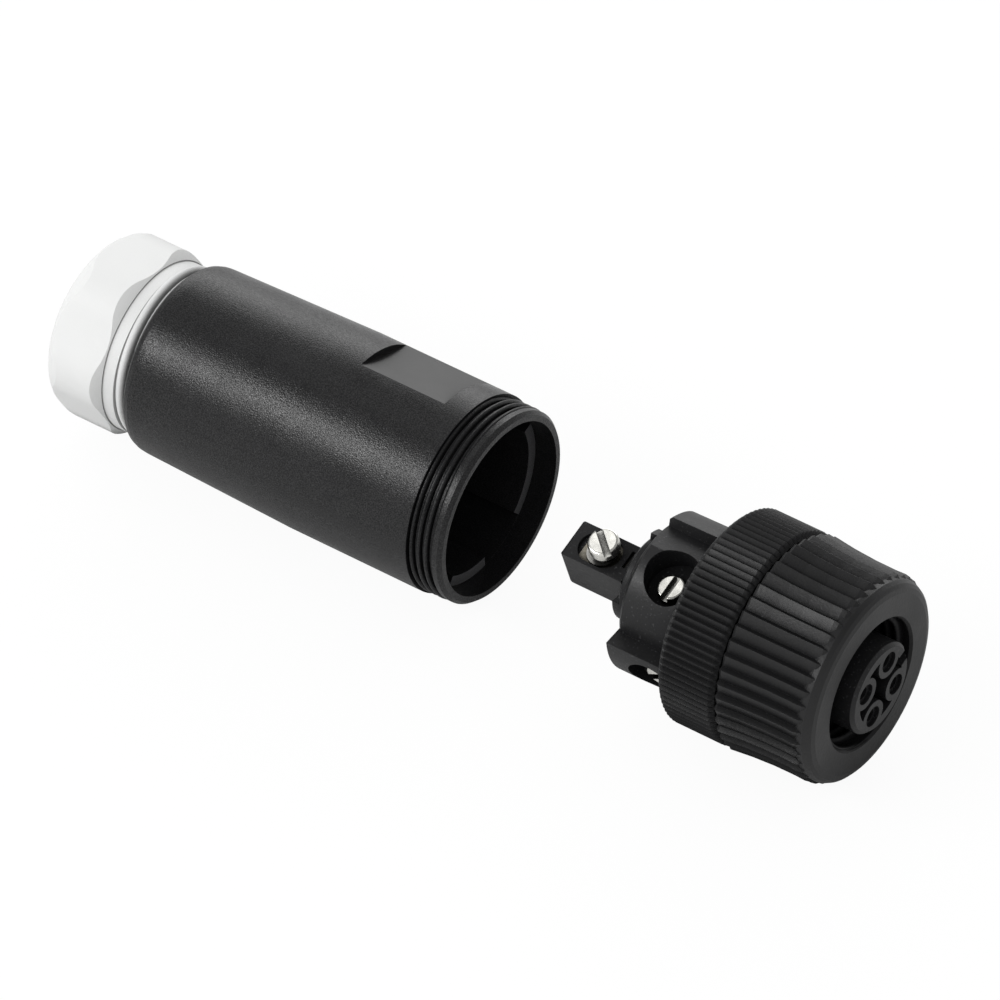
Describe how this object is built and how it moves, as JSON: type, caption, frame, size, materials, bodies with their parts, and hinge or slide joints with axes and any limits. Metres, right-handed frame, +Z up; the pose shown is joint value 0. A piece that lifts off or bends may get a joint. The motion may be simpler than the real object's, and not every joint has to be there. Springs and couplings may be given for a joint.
{
  "type": "inline socket connector",
  "caption": "Round inline socket connector with a ribbed coupling nut and screw terminals, its cable housing and pressing screw drawn back along the axis.",
  "frame": {"origin": "on the common axis, at the front face of the coupling nut", "axes": "+X along the common axis out of the socket face, +Z up, as it lies in the picture"},
  "size_m": [0.0816, 0.0198, 0.0198],
  "materials": {
    "carrier_black": "fine matte moulded",
    "housing_black": "fine spark-eroded grain",
    "union_black": "matte moulded",
    "nut_black": "matte moulded",
    "gland_grey": "satin moulded",
    "cage_grey": "matte moulded",
    "grommet_rubber": "matte",
    "seal_rubber": "matte",
    "gasket_rubber": "matte",
    "washer_grey": "matte",
    "clip_steel": "spring steel",
    "contact_brass": "gilded",
    "strip_nickel": "nickel plated",
    "screw_nickel": "bright nickel",
    "washer_nickel": "bright nickel"
  },
  "bodies": {
    "front": {"contact_carrier": "carrier_black", "sleeve_contact_1": "contact_brass", "sleeve_contact_2": "contact_brass", "sleeve_contact_3": "contact_brass", "strip_contact": "strip_nickel", "arm_washer": "washer_nickel", "face_seal": "seal_rubber", "housing_gasket": "gasket_rubber", "clip_ring": "clip_steel"},
    "union": {"union_ring": "union_black"},
    "nut": {"coupling_nut": "nut_black"},
    "housing": {"cable_housing": "housing_black", "grommet": "grommet_rubber", "clamp_cage": "cage_grey", "gland_washer": "washer_grey"},
    "press": {"pressing_screw": "gland_grey"},
    "terminal_1": {"clamp_screw_1": "screw_nickel"},
    "terminal_2": {"clamp_screw_2": "screw_nickel"},
    "terminal_3": {"clamp_screw_3": "screw_nickel"},
    "terminal_4": {"arm_screw": "screw_nickel"}
  },
  "joints": [
    {"name": "nut_turn", "type": "hinge", "parent": "front", "child": "nut", "pos_m": [-0.0045, 0, 0], "axis": [1, 0, 0], "continuous": true},
    {"name": "union_turn", "type": "hinge", "parent": "front", "child": "union", "pos_m": [-0.012, 0, 0], "axis": [1, 0, 0], "continuous": true},
    {"name": "housing_slide", "type": "slide", "parent": "front", "child": "housing", "axis": [1, 0, 0], "range_m": [0, 0.026]},
    {"name": "press_turn", "type": "hinge", "parent": "housing", "child": "press", "pos_m": [-0.075, 0, 0], "axis": [1, 0, 0], "continuous": true},
    {"name": "terminal_1_turn", "type": "hinge", "parent": "front", "child": "terminal_1", "pos_m": [-0.0181, -0.0033, 0.00415], "axis": [0, -0.3256, 0.9455], "continuous": true},
    {"name": "terminal_2_turn", "type": "hinge", "parent": "front", "child": "terminal_2", "pos_m": [-0.0174, -0.00415, -0.0033], "axis": [0, -0.9455, -0.3256], "continuous": true},
    {"name": "terminal_3_turn", "type": "hinge", "parent": "front", "child": "terminal_3", "pos_m": [-0.0181, 0.0033, -0.00415], "axis": [0, 0.3256, -0.9455], "continuous": true},
    {"name": "arm_screw_turn", "type": "hinge", "parent": "front", "child": "terminal_4", "pos_m": [-0.02656, -0.00065, 0.00189], "axis": [0, -0.3256, 0.9455], "continuous": true}
  ]
}
